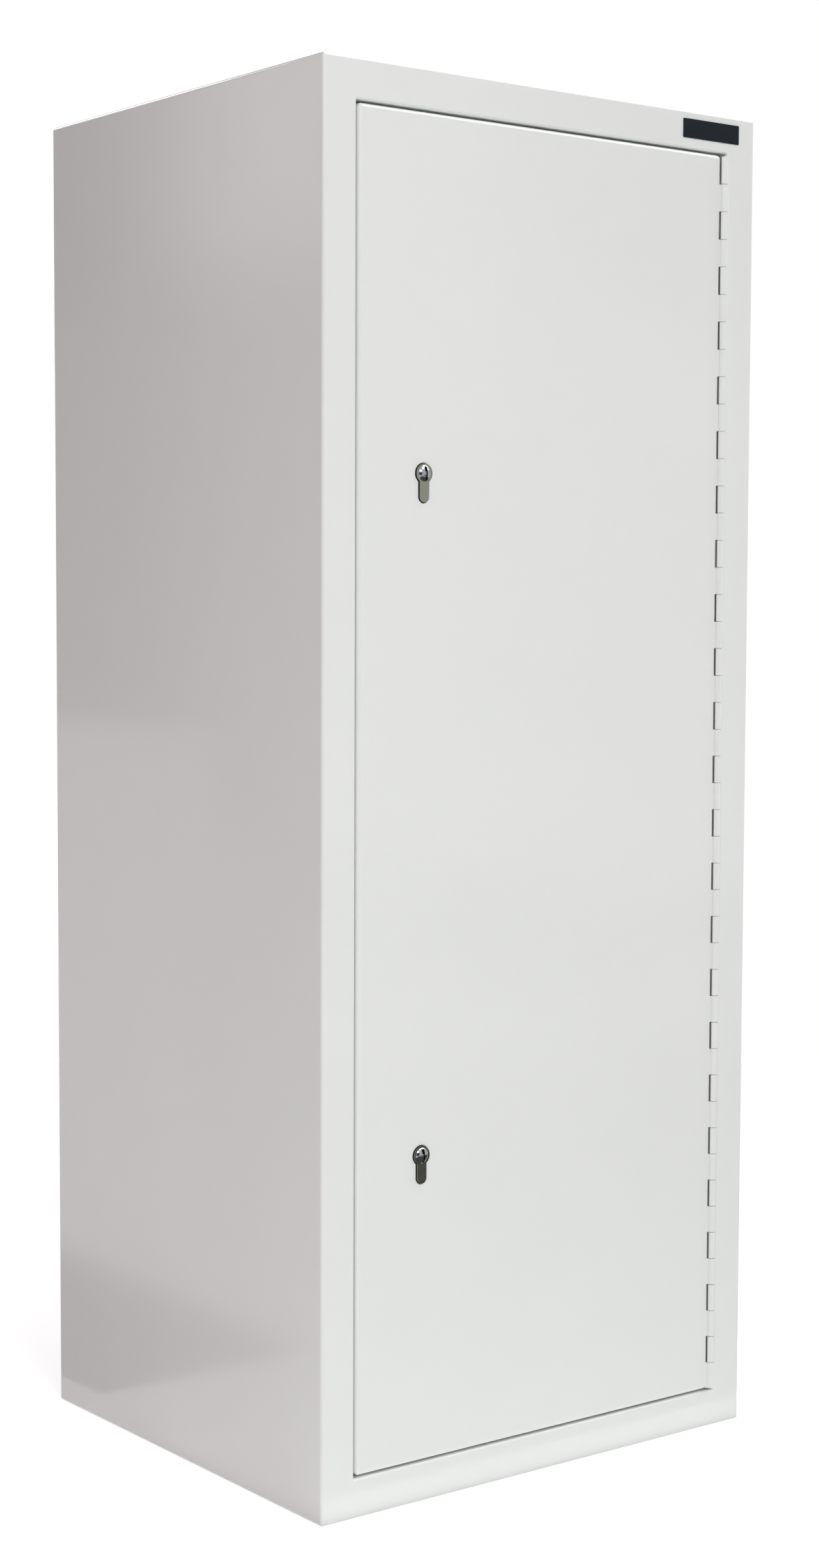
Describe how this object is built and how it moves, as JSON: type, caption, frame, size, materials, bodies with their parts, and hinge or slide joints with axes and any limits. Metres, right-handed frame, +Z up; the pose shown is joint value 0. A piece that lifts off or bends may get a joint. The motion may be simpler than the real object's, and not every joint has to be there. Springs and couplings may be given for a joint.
{
  "type": "medicine cabinet",
  "caption": "Tall lockable steel medicine cabinet with a flush full-height-hinged door, key-operated deadlocks and adjustable shelves inside.",
  "frame": {"origin": "middle of the base's underside", "axes": "+Z up, -Y towards the front with the door, +X towards the hinges"},
  "size_m": [0.5, 0.4543, 1.25],
  "materials": {
    "body_paint": "white gloss powder coat on folded steel sheet",
    "door_paint": "white gloss powder coat on folded steel sheet",
    "hinge_paint": "white gloss powder coat over the hinge",
    "inner_paint": "white powder coat",
    "rail_paint": "white powder coat",
    "shelf_paint": "white powder coat",
    "zinc_steel": "bright zinc plate",
    "satin_nickel": "satin nickel plate on brass",
    "bright_nickel": "bright nickel plate on brass",
    "cam_steel": "sintered steel",
    "bolt_nickel": "nickel-plated steel",
    "buffer_rubber": "soft rubber",
    "blank_plate": "dark lacquered plate, blank"
  },
  "bodies": {
    "cabinet": {"left_side_panel": "body_paint", "right_side_panel": "body_paint", "top_panel": "body_paint", "bottom_panel": "body_paint", "back_panel": "body_paint", "upper_anchor_plate": "body_paint", "lower_anchor_plate": "body_paint", "upper_strike_plate": "body_paint", "lower_strike_plate": "body_paint", "door_buffers": "buffer_rubber", "name_plate": "blank_plate", "hinge_frame_leaf": "hinge_paint", "hinge_pin": "zinc_steel", "rail_left_front": "rail_paint", "rail_left_rear": "rail_paint", "rail_right_front": "rail_paint", "rail_right_rear": "rail_paint", "shelf_clips": "zinc_steel"},
    "door": {"door_skin": "door_paint", "door_liner": "inner_paint", "stiffener_lock_side": "inner_paint", "stiffener_hinge_side": "inner_paint", "hinge_door_leaf": "hinge_paint", "security_bar": "door_paint", "lock_cover": "inner_paint", "lock_cover_screws": "zinc_steel", "upper_backing_plate": "zinc_steel", "upper_forend": "zinc_steel", "upper_lock_case": "zinc_steel", "upper_case_cover": "zinc_steel", "upper_case_screws": "zinc_steel", "upper_cylinder": "satin_nickel", "upper_fixing_screw": "zinc_steel", "lower_backing_plate": "zinc_steel", "lower_forend": "zinc_steel", "lower_lock_case": "zinc_steel", "lower_case_cover": "zinc_steel", "lower_case_screws": "zinc_steel", "lower_cylinder": "satin_nickel", "lower_fixing_screw": "zinc_steel"},
    "upper_key_plug": {"upper_plug": "bright_nickel", "upper_cam": "cam_steel"},
    "upper_bolt": {"upper_deadbolt": "bolt_nickel"},
    "lower_key_plug": {"lower_plug": "bright_nickel", "lower_cam": "cam_steel"},
    "lower_bolt": {"lower_deadbolt": "bolt_nickel"},
    "lower_shelf_tray": {"lower_shelf": "shelf_paint"},
    "middle_shelf_tray": {"middle_shelf": "shelf_paint"},
    "upper_shelf_tray": {"upper_shelf": "shelf_paint"}
  },
  "joints": [
    {"name": "door_swing", "type": "hinge", "parent": "cabinet", "child": "door", "pos_m": [0.2109, -0.225, 0.625], "axis": [0, 0, 1], "range_deg": [0, 170]},
    {"name": "upper_key_turn", "type": "hinge", "parent": "door", "child": "upper_key_plug", "pos_m": [-0.1435, -0.198, 0.906], "axis": [0, -1, 0], "range_deg": [0, 360]},
    {"name": "upper_bolt_throw", "type": "slide", "parent": "door", "child": "upper_bolt", "axis": [-1, 0, 0], "range_m": [0, 0.02]},
    {"name": "lower_key_turn", "type": "hinge", "parent": "door", "child": "lower_key_plug", "pos_m": [-0.1435, -0.198, 0.311], "axis": [0, -1, 0], "range_deg": [0, 360]},
    {"name": "lower_bolt_throw", "type": "slide", "parent": "door", "child": "lower_bolt", "axis": [-1, 0, 0], "range_m": [0, 0.02]},
    {"name": "lower_shelf_lift", "type": "slide", "parent": "cabinet", "child": "lower_shelf_tray", "axis": [0, 0, 1], "range_m": [0, 0.03]},
    {"name": "middle_shelf_lift", "type": "slide", "parent": "cabinet", "child": "middle_shelf_tray", "axis": [0, 0, 1], "range_m": [0, 0.03]},
    {"name": "upper_shelf_lift", "type": "slide", "parent": "cabinet", "child": "upper_shelf_tray", "axis": [0, 0, 1], "range_m": [0, 0.03]}
  ],
  "couplings": [
    {"joint": "upper_key_turn", "follows": "upper_bolt_throw", "rad_per_m": 314.16},
    {"joint": "lower_key_turn", "follows": "lower_bolt_throw", "rad_per_m": 314.16}
  ]
}
